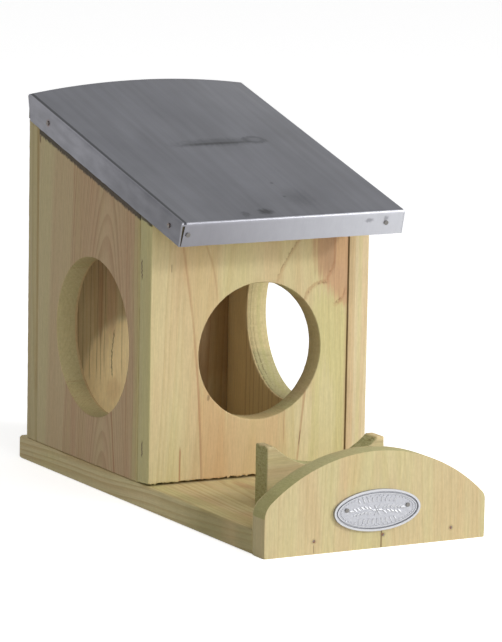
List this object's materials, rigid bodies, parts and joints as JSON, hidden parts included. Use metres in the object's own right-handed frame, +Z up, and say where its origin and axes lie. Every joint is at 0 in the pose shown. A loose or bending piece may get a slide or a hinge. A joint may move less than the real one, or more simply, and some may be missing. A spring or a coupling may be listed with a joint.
{
  "type": "squirrel feeder box",
  "caption": "Wooden squirrel feeder box with a sloping sheet-metal roof, round openings in front and sides, and a long base with a jar cradle and an arched end board.",
  "frame": {"origin": "middle of the feeder's length and width, on the plane it stands on", "axes": "+X to the right across the front, +Y from the arched end board to the back of the box, +Z up"},
  "size_m": [0.16, 0.3384, 0.25],
  "materials": {
    "pine": "planed, pressure-treated, unpainted",
    "zinc_sheet": "dull rolled zinc",
    "cast_plaque": "cast, tumbled bright",
    "nail_steel": "rusted",
    "screw_steel": "zinc plated"
  },
  "bodies": {
    "root": {"base_board": "pine", "front_panel": "pine", "left_side_panel": "pine", "right_side_panel": "pine", "back_panel": "pine", "roof_board": "pine", "front_arch_board": "pine", "jar_cradle": "pine", "zinc_roof_cover": "zinc_sheet", "oval_plaque": "cast_plaque", "plaque_pins": "nail_steel", "arch_board_nails": "nail_steel", "back_panel_nails": "nail_steel", "right_panel_nails": "nail_steel", "roof_board_nails": "nail_steel", "left_cover_nails": "nail_steel", "right_cover_nails": "nail_steel", "front_cover_nails": "nail_steel", "wall_screws": "screw_steel", "cradle_screws": "screw_steel"}
  },
  "joints": []
}
